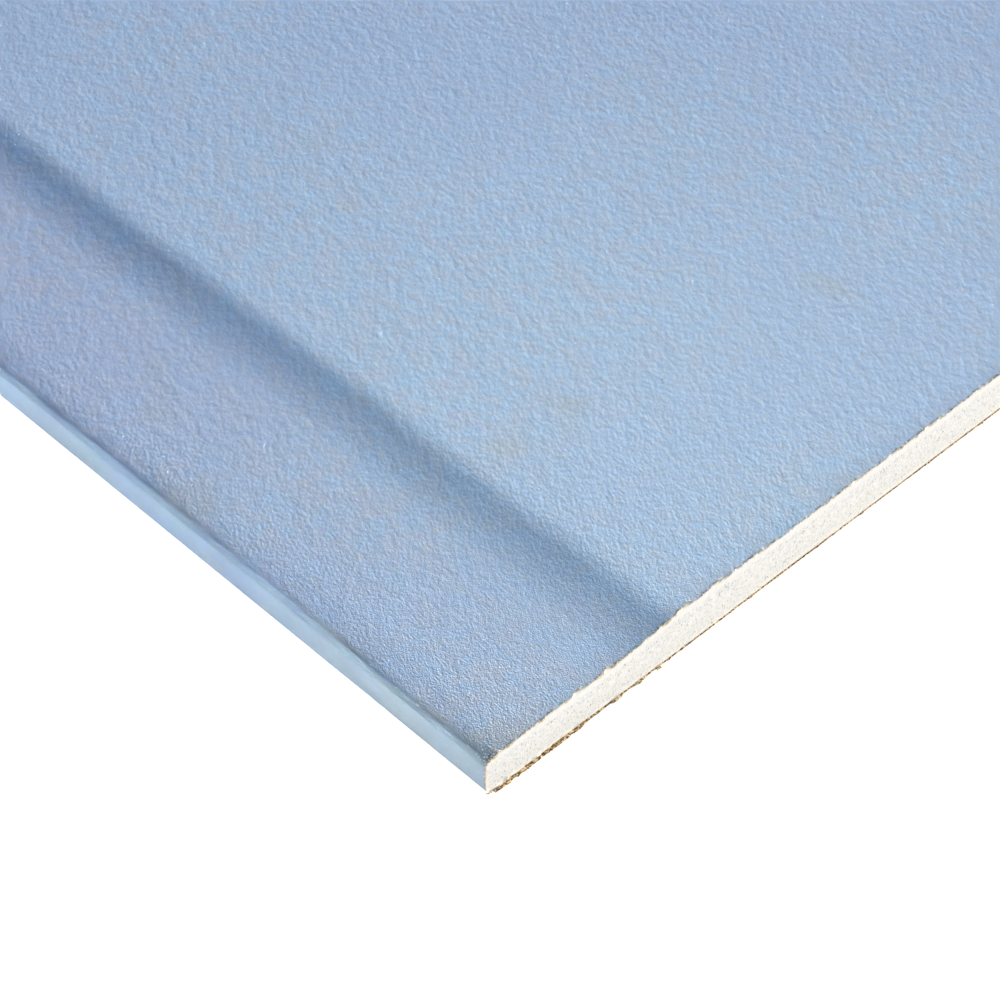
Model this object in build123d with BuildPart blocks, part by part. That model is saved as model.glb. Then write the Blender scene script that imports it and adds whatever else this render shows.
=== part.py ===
from build123d import *
from math import cos, radians, sin, tan
import os

# Tapered-edge gypsum plasterboard, lying flat with its face up.
# X runs along the length, Y across the width, Z through the thickness.
# The origin is the middle of the underside.  All lengths are millimetres.

# --- driving dimensions -------------------------------------------------
length = 2400.0            # sheet length, between the two square-cut ends
width = 1200.0             # sheet width, between the two paper-covered sides
thickness = 12.5           # full thickness between the tapers
paper = 0.4                # thickness of either paper liner

shoulder_y = 56.5          # from the long side to where the full thickness starts
crest_run = 5.5            # convex part of the ramp, next to the shoulder
slope_run = 1.5            # straight, steepest part of the ramp
ramp_run = 11.5            # concave part of the ramp, down to the strip
ramp_angle = 8.8           # steepest slope of the ramp, degrees
strip_angle = 0.6          # gentle slope of the strip beside the long side

rim_run = 6.5              # very wide roll at the strip's outer end
rim_angle = 3.0            # slope where the wide roll meets the turn
turn_radius = 17.3         # middle roll
turn_angle = 8.0           # slope where the turn meets the tight roll
roll_radius = 1.0          # tight roll from the rim over to the facet
facet_angle = 60.0         # slope of the facet along the top of the side
facet_length = 1.0         # width of that facet, across the section
fold_radius = 0.6          # fold between the facet and the upright side
under_radius = 1.7         # roll from the side under to the back

lap = 25.0                 # face paper folded onto the back, from the long side
back_margin = 2.0          # bare strip between the long side and the back paper


def section(inset, z_under):
    """The parts of one half section, at the long side y = -width / 2.

    inset is how far the line lies inside the outer surface, and z_under is
    the height of the underside.  The parts run from the shoulder down to the
    strip, over the facet, down the side and under to the back, as
    (start, end) for a straight part and (start, end, radius, convex) for an
    arc.
    """
    s = -width / 2
    a, b = radians(ramp_angle), radians(strip_angle)
    c, d, e = radians(rim_angle), radians(turn_angle), radians(facet_angle)

    # outer radii: the ramp is concave and every other arc is convex
    r_crest = crest_run / sin(a)
    r_ramp = ramp_run / (sin(a) - sin(b))
    r_rim = rim_run / (sin(c) - sin(b))

    # outer points, as distance in from the side and height
    w_fold = fold_radius * (1 - sin(e))
    w_facet = w_fold + facet_length * cos(e)
    w_roll = w_facet + roll_radius * (sin(e) - sin(d))
    w_turn = w_roll + turn_radius * (sin(d) - sin(c))
    w_rim = w_turn + rim_run
    w_ramp = shoulder_y - crest_run - slope_run - ramp_run
    z_slope = thickness - r_crest * (1 - cos(a))
    z_ramp = z_slope - slope_run * tan(a)
    z_strip = z_ramp - r_ramp * (cos(b) - cos(a))
    z_rim = z_strip - (w_ramp - w_rim) * tan(b)
    z_turn = z_rim - r_rim * (cos(b) - cos(c))
    z_roll = z_turn - turn_radius * (cos(c) - cos(d))
    z_facet = z_roll - roll_radius * (cos(d) - cos(e))
    z_fold = z_facet - facet_length * sin(e)
    z_side = z_fold - fold_radius * cos(e)

    def moved(w, z, slope):
        """A point of the outer surface, taken inwards along the normal there."""
        return (s + w + inset * sin(slope), z - inset * cos(slope))

    q_top = moved(shoulder_y, thickness, 0.0)
    q_crest = moved(shoulder_y - crest_run, z_slope, a)
    q_slope = moved(w_ramp + ramp_run, z_ramp, a)
    q_ramp = moved(w_ramp, z_strip, b)
    q_strip = moved(w_rim, z_rim, b)
    q_rim = moved(w_turn, z_turn, c)
    q_turn = moved(w_roll, z_roll, d)
    q_roll = moved(w_facet, z_facet, e)
    q_facet = moved(w_fold, z_fold, e)
    q_fold = (s + inset, z_side)
    r_under = under_radius - inset
    q_side = (s + inset, z_under + r_under)
    q_under = (s + under_radius, z_under)
    return [
        (q_top, q_crest, r_crest - inset, True),
        (q_crest, q_slope),
        (q_slope, q_ramp, r_ramp + inset, False),
        (q_ramp, q_strip),
        (q_strip, q_rim, r_rim - inset, True),
        (q_rim, q_turn, turn_radius - inset, True),
        (q_turn, q_roll, roll_radius - inset, True),
        (q_roll, q_facet),
        (q_facet, q_fold, fold_radius - inset, True),
        (q_fold, q_side),
        (q_side, q_under, r_under, True),
    ]


def middle(start, end, radius, convex):
    """Middle point of the shorter arc between two points."""
    dx, dy = end[0] - start[0], end[1] - start[1]
    chord = (dx * dx + dy * dy) ** 0.5
    sagitta = radius - (radius * radius - chord * chord / 4) ** 0.5
    # walking from the top down the side, the outside is on the right
    nx, ny = dy / chord, -dx / chord
    k = sagitta if convex else -sagitta
    return ((start[0] + end[0]) / 2 + nx * k, (start[1] + end[1]) / 2 + ny * k)


def draw(parts):
    """Adds the half section to the line being built, and returns its last point."""
    Line((0, parts[0][0][1]), parts[0][0])
    for part in parts:
        if len(part) == 2:
            Line(*part)
        else:
            ThreePointArc(part[0], middle(*part), part[1])
    return parts[-1][1]


outer = section(0.0, paper)
inner = section(paper, 2 * paper)
lap_y = -width / 2 + lap

x_plane = Plane(origin=(-length / 2, 0, 0), x_dir=(0, 1, 0), z_dir=(1, 0, 0))

# --- gypsum core ----------------------------------------------------------
# The slab fills the space between the liners.  Its underside is stepped up
# by one paper thickness along both long sides, where the face paper laps.
with BuildPart() as gypsum_core:
    with BuildSketch(x_plane):
        with BuildLine():
            foot = draw(inner)
            Line(foot, (lap_y, 2 * paper))
            Line((lap_y, 2 * paper), (lap_y, paper))
            Line((lap_y, paper), (0, paper))
            mirror(about=Plane.YZ)
        make_face()
    extrude(amount=length)
gypsum_core.part.label = "gypsum_core"

# --- face paper -----------------------------------------------------------
# One closed C: over the top, round both long sides, and under to the lap.
with BuildPart() as face_paper:
    with BuildSketch(x_plane):
        with BuildLine():
            foot = draw(outer)
            Line(foot, (lap_y, paper))
            foot = draw(inner)
            Line(foot, (lap_y, 2 * paper))
            Line((lap_y, paper), (lap_y, 2 * paper))
            mirror(about=Plane.YZ)
        make_face()
    extrude(amount=length)
face_paper.part.label = "face_paper"

# --- back paper -----------------------------------------------------------
# A flat sheet over the whole back, a few millimetres short of the long sides.
with BuildPart() as back_paper:
    with BuildSketch(Plane.XY):
        Rectangle(length, width - 2 * back_margin)
    extrude(amount=paper)
back_paper.part.label = "back_paper"

os.makedirs("parts", exist_ok=True)
export_step(gypsum_core.part, "parts/gypsum_core.step")
export_step(face_paper.part, "parts/face_paper.step")
export_step(back_paper.part, "parts/back_paper.step")
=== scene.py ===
import math

import bmesh
import bpy
import numpy as np
from mathutils import Matrix, Vector


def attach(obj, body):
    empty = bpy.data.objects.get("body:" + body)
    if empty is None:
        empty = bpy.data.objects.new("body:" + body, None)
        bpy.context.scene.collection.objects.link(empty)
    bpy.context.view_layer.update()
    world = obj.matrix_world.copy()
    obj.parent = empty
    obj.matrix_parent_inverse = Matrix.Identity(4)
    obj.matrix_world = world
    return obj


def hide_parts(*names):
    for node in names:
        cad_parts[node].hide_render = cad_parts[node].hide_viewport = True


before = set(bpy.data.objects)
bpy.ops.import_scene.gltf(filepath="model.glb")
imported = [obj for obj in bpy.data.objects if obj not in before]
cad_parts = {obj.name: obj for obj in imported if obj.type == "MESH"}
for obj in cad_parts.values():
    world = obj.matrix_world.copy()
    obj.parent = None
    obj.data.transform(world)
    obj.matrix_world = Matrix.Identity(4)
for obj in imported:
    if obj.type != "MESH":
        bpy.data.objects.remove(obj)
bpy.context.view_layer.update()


MM = 0.001
PI = math.pi

# --------------------------------------------------------------------------
# The board, in millimetres.  w runs inwards from a long side, z up from the
# floor.  These are the dimensions of the solids.
# --------------------------------------------------------------------------
LENGTH, WIDTH, THICK, PAPER = 2400.0, 1200.0, 12.5, 0.4
HALF, SIDE = LENGTH / 2, WIDTH / 2
SHOULDER, CREST_RUN, SLOPE_RUN, RAMP_RUN, RIM_RUN = 56.5, 5.5, 1.5, 11.5, 6.5
RAMP_A, STRIP_A, RIM_A, TURN_A, FACET_A = (math.radians(v) for v in (8.8, 0.6, 3.0, 8.0, 60.0))
TURN_R, ROLL_R, FACET_L, FOLD_R, UNDER_R = 17.3, 1.0, 1.0, 0.6, 1.7
LAP, BACK_MARGIN = 25.0, 2.0

# the camera that took the picture, relative to the near corner (mm, degrees, pixels)
CAM_FROM_CORNER = (259.77, -245.76, 444.56)
CAM_AZIMUTH, CAM_PITCH, CAM_FOCAL_PX = 46.105, 45.155, 2799.2


# --------------------------------------------------------------------------
# Repeatable noise
# --------------------------------------------------------------------------
def hashed(ix, iy, seed):
    """Numbers in -1..1 that depend only on the lattice point and the seed."""
    h = (ix.astype(np.int64) * 374761393 + iy.astype(np.int64) * 668265263 + seed * 1274126177) & 0xFFFFFFFF
    h = ((h ^ (h >> 13)) * 1274126177) & 0xFFFFFFFF
    h = ((h ^ (h >> 16)) * 2246822519) & 0xFFFFFFFF
    h = h ^ (h >> 15)
    return (h & 0xFFFFFF) / float(0xFFFFFF) * 2 - 1


def smooth(t):
    return t * t * t * (t * (t * 6 - 15) + 10)


def noise2(x, y, seed):
    """Smooth value noise in -1..1."""
    x, y = np.broadcast_arrays(np.asarray(x, float), np.asarray(y, float))
    x0, y0 = np.floor(x), np.floor(y)
    fx, fy = smooth(x - x0), smooth(y - y0)
    a = hashed(x0, y0, seed)
    b = hashed(x0 + 1, y0, seed)
    c = hashed(x0, y0 + 1, seed)
    d = hashed(x0 + 1, y0 + 1, seed)
    return (a * (1 - fx) + b * fx) * (1 - fy) + (c * (1 - fx) + d * fx) * fy


def noise1(x, seed):
    return noise2(x, np.asarray(x, float) * 0 + 0.5, seed)


def fractal(x, y, seed, octaves=3, gain=0.5):
    total, amp, norm = 0.0, 1.0, 0.0
    for k in range(octaves):
        total = total + amp * noise2(np.asarray(x) * 2 ** k, np.asarray(y) * 2 ** k, seed + 17 * k)
        norm += amp
        amp *= gain
    return total / norm


def fractal1(x, seed, octaves=3, gain=0.5):
    return fractal(x, np.asarray(x, float) * 0 + 0.5, seed, octaves, gain)


def hump(x, at, half_width):
    """1 at the middle, 0 past the half width."""
    t = np.clip(1 - np.abs(np.asarray(x) - at) / half_width, 0, 1)
    return t * t * (3 - 2 * t)


def rise(x, a, b):
    """0 before a, 1 after b, smooth between."""
    t = np.clip((np.asarray(x, float) - a) / (b - a), 0, 1)
    return t * t * (3 - 2 * t)


# --------------------------------------------------------------------------
# The section, as one dense line round the outside
# --------------------------------------------------------------------------
def half_section():
    """Rows (w, z, nw, nz) from the lap's end, round the side, to the middle of the top, and each part's first row."""
    rows, starts = [], []

    def straight(w0, z0, slope, length, count):
        """Runs up the slope, away from the lap's end; slope is 180 degrees underneath."""
        starts.append(len(rows))
        n = (-math.sin(slope), math.cos(slope))
        for k in range(count):
            t = length * k / count
            rows.append((w0 + t * math.cos(slope), z0 + t * math.sin(slope), *n))
        return w0 + length * math.cos(slope), z0 + length * math.sin(slope)

    def roll(w0, z0, a0, a1, r, count):
        """An arc from slope a0 to a1; convex, or concave for a rising slope."""
        starts.append(len(rows))
        k_sign = 1 if a1 < a0 else -1
        cw, cz = w0 + k_sign * r * math.sin(a0), z0 - k_sign * r * math.cos(a0)
        for k in range(count + 1):
            t = a0 + (a1 - a0) * k / count
            p = (cw - k_sign * r * math.sin(t), cz + k_sign * r * math.cos(t))
            if k < count:
                rows.append((*p, -math.sin(t), math.cos(t)))
        return p

    a, b, c, d, e = RAMP_A, STRIP_A, RIM_A, TURN_A, FACET_A
    # heights follow from the top down, so the side's height is what is left
    w_fold = FOLD_R * (1 - math.sin(e))
    w_roll = w_fold + FACET_L * math.cos(e) + ROLL_R * (math.sin(e) - math.sin(d))
    w_rim = w_roll + TURN_R * (math.sin(d) - math.sin(c)) + RIM_RUN
    w_ramp = SHOULDER - CREST_RUN - SLOPE_RUN - RAMP_RUN
    r_crest = CREST_RUN / math.sin(a)
    r_ramp = RAMP_RUN / (math.sin(a) - math.sin(b))
    r_rim = RIM_RUN / (math.sin(c) - math.sin(b))
    strip = (w_ramp - w_rim) / math.cos(b)
    z = THICK - r_crest * (1 - math.cos(a)) - SLOPE_RUN * math.tan(a) - r_ramp * (math.cos(b) - math.cos(a))
    z -= strip * math.sin(b) + r_rim * (math.cos(b) - math.cos(c)) + TURN_R * (math.cos(c) - math.cos(d))
    z -= ROLL_R * (math.cos(d) - math.cos(e)) + FACET_L * math.sin(e) + FOLD_R * math.cos(e)

    q = straight(LAP, PAPER, PI, LAP - UNDER_R, 60)
    q = roll(*q, PI, PI / 2, UNDER_R, 40)
    q = straight(*q, PI / 2, z - q[1], 30)
    q = roll(*q, PI / 2, e, FOLD_R, 20)
    q = straight(*q, e, FACET_L, 20)
    q = roll(*q, e, d, ROLL_R, 30)
    q = roll(*q, d, c, TURN_R, 30)
    q = roll(*q, c, b, r_rim, 30)
    q = straight(*q, b, strip, 40)
    q = roll(*q, b, a, r_ramp, 50)
    q = straight(*q, a, SLOPE_RUN / math.cos(a), 12)
    q = roll(*q, a, 0.0, r_crest, 50)
    starts.append(len(rows))
    for k in range(201):
        rows.append((SHOULDER + (SIDE - SHOULDER) * k / 200, THICK, 0.0, 1.0))
    return np.array(rows), starts + [len(rows) - 1]


HALF_ROWS, PART_AT = half_section()
_right = HALF_ROWS[:-1][::-1] * np.array([1, 1, -1, 1])
SECTION = np.vstack([HALF_ROWS * [1, 1, 1, 1] - [SIDE, 0, 0, 0], _right * [-1, 1, 1, 1] + [SIDE, 0, 0, 0]])
S_ALL = np.concatenate([[0], np.cumsum(np.hypot(np.diff(SECTION[:, 0]), np.diff(SECTION[:, 1])))])
S_TOTAL = S_ALL[-1]
S_MID = S_TOTAL / 2
TOP_W = HALF_ROWS[PART_AT[3]:, 0]
TOP_Z = HALF_ROWS[PART_AT[3]:, 1]


def at(s, inset=0.0):
    """y, z and the normal at the place s along the section."""
    y, z, ny, nz = (np.interp(s, S_ALL, SECTION[:, k]) for k in range(4))
    return y - ny * inset, z - nz * inset, ny, nz


def from_side(y):
    """Distance in from the nearer long side."""
    return SIDE - np.abs(y)


def coarse_rows():
    """Row places: close together where the section curves, far apart on the flat."""
    h = S_ALL[: len(HALF_ROWS)]
    keep = []
    for k, count in enumerate([5, 8, 8, 6, 4, 8, 8, 8, 10, 16, 3, 12, 24]):
        lo, hi = h[PART_AT[k]], h[PART_AT[k + 1]]
        t = np.arange(count) / count
        if k == 12:
            t = t ** 1.7
        keep.append(lo + (hi - lo) * t)
    half = np.concatenate(keep)
    return np.concatenate([half, [S_MID], (S_TOTAL - half)[::-1]])


def spaced(total, step):
    """Places from 0 to total whose spacing is step(place)."""
    out = [0.0]
    while out[-1] < total:
        out.append(out[-1] + step(out[-1]))
    out = np.array(out)
    return out * total / out[-1]


ROWS = coarse_rows()


# --------------------------------------------------------------------------
# How the sheet departs from its plain section
# --------------------------------------------------------------------------
def crush(w, from_end, end, side):
    """How far the rim is pressed down beside a cut end."""
    k = {(1, -1): 0.16, (1, 1): 0.20, (-1, -1): 0.14, (-1, 1): 0.24}[(end, side)]
    near = np.exp(-(np.asarray(from_end, float) / 7.5) ** 2)
    return k * near * rise(w, -0.2, 1.1) * (1 - rise(w, 1.3, 4.6))


def surface(x, s, inset=0.0):
    """Points of the face paper at length x and section place s, with the sheet's slight unevenness."""
    y, z, ny, nz = at(s, inset)
    x = np.broadcast_to(np.asarray(x, float), y.shape).astype(float)
    y0 = at(s)[0]
    w = from_side(y0)
    side = np.where(y0 < 0, -1.0, 1.0)
    far = np.where(y0 < 0, 0.0, 61.0)
    top = (nz > 0.2).astype(float)
    # the foot and the crest of the ramp wander a little along the sheet
    wander = 0.85 * fractal(x / 44.0 + far, far, 11, 3, 0.55) + 0.35 * noise2(x / 10.0 + far, far, 12)
    shift = wander * rise(w, 34, 46) * (1 - rise(w, 57, 64))
    z = z + top * (np.interp(w - shift, TOP_W, TOP_Z) - np.interp(w, TOP_W, TOP_Z))
    # a hardly visible ridge runs along the shoulder
    z = z + top * 0.018 * hump(w, 58.5, 4.5)
    # broad, very shallow waves of the whole face
    wave = 0.035 * fractal(x / 170.0, y0 / 140.0, 21, 2) + 0.010 * noise2(x / 42.0, y0 / 38.0, 23)
    z = z + wave * rise(w, 4, 14) * top
    # the rim is not perfectly straight
    z = z + 0.05 * noise2(x / 23.0 + far, far, 41) * top * rise(w, 0.2, 1.5) * (1 - rise(w, 3, 9))
    roll = 0.06 * noise2(x / 85.0 + far, far, 31) + 0.025 * noise2(x / 17.0 + far, far, 33)
    lean = 0.08 * np.clip((z - 4.5) / 4.0, 0, 1) ** 2 * (1 - rise(w, 0.3, 3.0))
    y = y - side * (roll * (1 - rise(w, 3, 14)) + lean) * rise(z, 0.45, 2.6)
    # the rim is lower beside the cut ends
    for end in (1, -1):
        d = HALF - end * x
        for sd in (-1, 1):
            z = z - np.where(side == sd, crush(w, d, end, sd), 0.0) * (nz > -0.2)
    return np.stack([x, y, z], 1)


def foot(end, y, z):
    """How far the sawn face leans out towards the back (mm)."""
    w = from_side(y)
    much = (0.42 - 0.06 * rise(w, 9, 20) - 0.22 * rise(w, 62, 90)) if end > 0 else 0.16
    return much * np.clip(1 - np.asarray(z, float) / 5.0, 0, 1) ** 1.5 * rise(w, 1.0, 3.5)


def paper_end(end, s):
    """How far the face paper's cut edge falls short of the end plane (mm, negative stands proud)."""
    y = at(s)[0]
    w = y + SIDE
    k = 0.0 if end > 0 else 500.0
    base = 0.10 + 0.17 * fractal1(s / 9.0 + k, 51, 3, 0.6)
    steps = noise1(s / 5.5 + k, 57)
    base = base + 0.26 * rise(steps, 0.35, 0.6) - 0.10 * rise(-steps, 0.45, 0.7)
    if end > 0:
        near = 1 - rise(w, 195, 235)
        own = 0.06 + 0.10 * fractal1(s / 6.0, 61, 3, 0.6)
        for place, half, deep in (
            (1.6, 3.2, -0.30), (9, 3.0, -0.14), (14.5, 2.5, -0.08), (20, 2.5, 0.12), (26.8, 3.0, 0.58), (31.8, 1.8, -0.10), (35.8, 2.2, 0.34),
            (41, 3.0, 0.06), (47.4, 2.0, 0.36), (52, 2.0, 0.12), (58, 3.2, 0.46), (62.3, 1.4, -0.12), (68.5, 4.2, 0.42),
            (74.5, 1.6, 0.38), (90, 5.0, -0.18), (113, 2.5, 0.18), (137.5, 2.6, 0.50), (140.5, 2.5, 0.28), (155, 3.0, 0.30),
        ):
            own = own + deep * hump(w, place, half)
        base = base * (1 - near) + own * near
    fibre = 0.12 * noise1(s / 0.66 + k, 59) + 0.11 * noise1(s / 0.37 + k, 60) + 0.09 * noise1(s / 1.5 + k, 58)
    fibre = fibre + 0.16 * rise(noise1(s / 0.8 + k, 56), 0.45, 0.7)
    # the paper wrapped round the sides is cut cleaner
    on_side = 1 - rise(from_side(y), 0.5, 5.0)
    return base * (1 - 0.6 * on_side) + fibre * (1 - 0.4 * on_side)


def torn(end, s):
    """0..1: where the inner plies show as torn flecks below the blue ply."""
    k = 0.0 if end > 0 else 300.0
    patch = fractal1(s / 6.5 + k, 131, 2, 0.6)
    fine = 0.5 + 0.5 * noise1(s / 1.1 + k, 133)
    t = rise(patch, -0.05, 0.35) * rise(fine, 0.25, 0.75)
    if end > 0:
        w = at(s)[0] + SIDE
        own = np.zeros_like(w)
        for place, half, much in ((2.2, 2.6, 1.0), (6.8, 2.5, 0.9), (15.5, 2.6, 0.8), (23.5, 1.2, 0.35), (33.0, 2.0, 0.7),
                                  (37.0, 1.6, 0.6), (52.6, 2.2, 1.0), (55.5, 1.4, 0.8), (71.0, 1.5, 0.4), (83.5, 1.3, 0.6),
                                  (103.0, 1.8, 0.5), (128.0, 1.5, 0.6), (133.0, 1.2, 0.5), (151.0, 1.3, 0.4), (176.0, 2.0, 0.5)):
            own = own + much * hump(w, place, half)
        own = np.clip(own, 0, 1) * (0.45 + 0.55 * rise(fine, 0.15, 0.6)) + 0.25 * t
        near = 1 - rise(w, 190, 220)
        t = t * (1 - near) + np.clip(own, 0, 1) * near
    upright = rise(-at(s)[3], -0.35, -0.05) * (1 - rise(from_side(at(s)[0]), 1.2, 2.5))
    return np.maximum(t, upright * (0.10 + 0.25 * fine))


def back_end(end, y):
    """How far the back paper's torn edge stands out past the end plane (mm)."""
    w = y + SIDE
    k = 0.0 if end > 0 else 700.0
    big = rise(fractal1(y / 48.0 + k, 71, 2), 0.05, 0.30)
    base = 0.22 + 0.42 * big + 0.22 * rise(noise1(y / 3.1 + k, 72), 0.62, 0.90)
    if end > 0:
        near = 1 - rise(w, 200, 235)
        own = 1.12 - 0.10 * rise(w, 12, 15) - 0.06 * rise(w, 20.5, 22.5) - 0.40 * rise(w, 26.0, 28.5) - 0.10 * rise(w, 33, 36)
        own = own - 0.08 * rise(w, 46.5, 49.0) - 0.10 * rise(w, 57, 61) - 0.05 * rise(w, 75, 85) - 0.06 * rise(w, 100, 115)
        own = own + 0.08 * hump(w, 19.5, 2.2) + 0.55 * hump(w, 37.7, 3.0) + 0.42 * hump(w, 44.2, 3.0) + 0.55 * hump(w, 50.3, 1.0)
        own = own - 0.22 * hump(w, 9.2, 0.8) - 0.22 * hump(w, 15.4, 0.7) - 0.20 * hump(w, 24.0, 0.8) - 0.12 * (1 - rise(w, 2.5, 4.5))
        for place, half, more in ((53.6, 0.8, 0.24), (57.4, 0.6, 0.18), (66.0, 0.8, 0.20), (79.5, 1.2, 0.16), (88.0, 0.9, 0.22),
                                  (101.0, 1.2, 0.16), (116.0, 0.8, 0.20), (139.0, 1.4, 0.14), (158.0, 1.0, 0.22)):
            own = own + more * hump(w, place, half)
        base = base * (1 - near) + own * near
    rough = 0.30 * fractal1(y / 2.6 + k, 73, 3, 0.6) + 0.26 * noise1(y / 0.75 + k, 75) + 0.16 * noise1(y / 0.36 + k, 76)
    return np.clip(base + rough * (0.06 + 0.75 * np.clip(base - 0.30, 0, 0.8)), foot(end, y, 0.0) + 0.03, None)


# --------------------------------------------------------------------------
# Mesh building
# --------------------------------------------------------------------------
class Mesh:
    """Vertices in mm, faces with a material index, grown a row at a time."""

    def __init__(self):
        self.v, self.tag, self.f, self.m, self.n = [], [], [], [], 0

    def add(self, pts, tag=0.0):
        """A row of points; tag is a number the materials read."""
        pts = np.asarray(pts, float)
        self.v.append(pts)
        self.tag.append(np.broadcast_to(np.asarray(tag, float), (len(pts),)))
        ids = np.arange(self.n, self.n + len(pts))
        self.n += len(pts)
        return ids

    def at(self, ids):
        return np.vstack(self.v)[ids]

    def quads(self, a, b, mat=0):
        """Joins two rows with the same number of points."""
        self.f.extend(np.stack([a[:-1], a[1:], b[1:], b[:-1]], 1).tolist())
        self.m.extend([mat] * (len(a) - 1))

    def face(self, ids, mat=0):
        self.f.append([int(i) for i in ids])
        self.m.append(mat)

    def zipped(self, a, sa, b, sb, mat=0):
        """Joins two rows with different numbers of points, by their places along the row."""
        i = j = 0
        while i < len(a) - 1 or j < len(b) - 1:
            if j == len(b) - 1 or (i < len(a) - 1 and sa[i + 1] + sa[i] <= sb[j + 1] + sb[j]):
                self.face((a[i], a[i + 1], b[j]), mat)
                i += 1
            else:
                self.face((a[i], b[j + 1], b[j]), mat)
                j += 1

    def build(self, name, materials, sharp_deg=None, smooth_shade=True):
        me = bpy.data.meshes.new(name)
        me.from_pydata((np.vstack(self.v) * MM).tolist(), [], self.f)
        for mat in materials:
            me.materials.append(mat)
        me.polygons.foreach_set("material_index", self.m)
        layer = me.attributes.new("mesh_tag", "FLOAT", "POINT")
        layer.data.foreach_set("value", np.concatenate(self.tag))
        bm = bmesh.new()
        bm.from_mesh(me)
        bmesh.ops.recalc_face_normals(bm, faces=bm.faces)
        bm.to_mesh(me)
        bm.free()
        me.polygons.foreach_set("use_smooth", [smooth_shade] * len(me.polygons))
        if sharp_deg is not None:
            me.set_sharp_from_angle(angle=math.radians(sharp_deg))
        me.update()
        ob = bpy.data.objects.new(name, me)
        bpy.context.scene.collection.objects.link(ob)
        return ob


def end_step(end, near_to):
    """Row spacing at a cut end: finest beside the photographed corner and round the rolled sides."""
    def step(s):
        if end > 0 and s < near_to:
            return 0.19
        return 0.32 if min(s, S_TOTAL - s) < 40 and min(s, S_TOTAL - s) > 22 else 0.80
    return step


# --------------------------------------------------------------------------
# Face paper
# --------------------------------------------------------------------------
def build_face():
    g = Mesh()
    near = np.concatenate([np.arange(6.0, 40, 3.0), np.arange(40, 300, 6.0), np.arange(300, 2391, 13.0)])
    columns = [g.add(surface(HALF - d, ROWS), 10.0) for d in near]
    for a, b in zip(columns[:-1], columns[1:]):
        g.quads(a, b)

    ends = {}
    for end in (1, -1):
        s = spaced(S_TOTAL, end_step(end, 250))
        short = paper_end(end, s)
        tear = torn(end, s)
        ny, nz = at(s)[2:]
        lean = foot(end, *at(s)[:2])
        rolled = np.nonzero((from_side(at(s)[0]) < 10) & (np.minimum(s, S_TOTAL - s) > 15))[0]
        rows, places = [], []
        # the blue ply, from its cut edge back to the plain columns
        for depth, skip, hold in ((0.0, 1, 1.0), (0.22, 1, 0.92), (0.55, 1, 0.7), (1.2, 3, 0.3), (2.8, 12, 0.0)):
            idx = np.unique(np.concatenate([np.arange(0, len(s), skip), rolled[::max(1, skip // 4)], [len(s) - 1]]))
            p = surface(end * (HALF - (short[idx] - lean[idx]) * hold - depth), s[idx])
            # the edge is lifted a little by the cut, and its last fibres stand up or lie down
            lift = 0.035 * math.exp(-depth / 1.6) + (0.05 + 0.06 * noise1(s[idx] / 0.9, 95 + end)) * math.exp(-((depth / 0.3) ** 2))
            lift = lift - 0.10 * rise(noise1(s[idx] / 2.6, 97 + end), 0.1, 0.6) * math.exp(-((depth / 0.45) ** 2))
            up = (nz[idx] > -0.5) * lift
            p[:, 1] += ny[idx] * up
            p[:, 2] += nz[idx] * up
            rows.append(g.add(p, depth))
            places.append(s[idx])
        for k in range(len(rows) - 1):
            if len(rows[k]) == len(rows[k + 1]):
                g.quads(rows[k], rows[k + 1])
            else:
                g.zipped(rows[k], places[k], rows[k + 1], places[k + 1])
        g.zipped(rows[-1], places[-1], columns[0] if end > 0 else columns[-1], ROWS)

        # the paper's own thickness: a dark blue-grey ply, then paler inner plies that hang down where torn
        edge = g.at(rows[0])
        rough = noise1(s / 0.5, 98 + end)
        mid = surface(end * (HALF + lean - short * 0.80 + 0.02 + 0.05 * rough), s, 0.15)
        mid[:, 1:] += (edge[:, 1:] - surface(end * HALF, s)[:, 1:]) * 0.6
        hang = PAPER + tear * (0.26 + 0.16 * noise1(s / 0.8, 135 + end))
        low = surface(end * (HALF + lean - short * 0.35 * (1 - tear) + 0.02 + 0.07 * tear * (0.7 + 0.3 * rough)), s, hang)
        tuck = surface(end * (HALF - 0.30 - 0 * s), s, PAPER + 0.6 * (hang - PAPER))
        m_ids, l_ids, t_ids = g.add(mid, tear), g.add(low, tear), g.add(tuck, tear)
        g.quads(m_ids, rows[0], 1)
        g.quads(l_ids, m_ids, 2)
        g.quads(t_ids, l_ids, 2)
        i_ids = g.add(surface(end * (HALF - 6.0), ROWS, PAPER))
        g.zipped(i_ids, ROWS, t_ids, s, 2)
        ends[end] = [rows, [m_ids, l_ids, t_ids, i_ids]]
    g.quads(ends[-1][1][3], ends[1][1][3], 2)

    # the two long edges of the lap close the outer and inner skins
    for k in (0, -1):
        outer = [r[k] for r in ends[1][0]] + [c[k] for c in columns] + [r[k] for r in ends[-1][0]][::-1]
        inner = [r[k] for r in ends[1][1]] + [r[k] for r in ends[-1][1]][::-1]
        so = np.maximum.accumulate(-g.at(outer)[:, 0])
        si = np.maximum.accumulate(-g.at(inner)[:, 0])
        g.zipped(outer, so, inner, si, 2)
    return g


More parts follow.
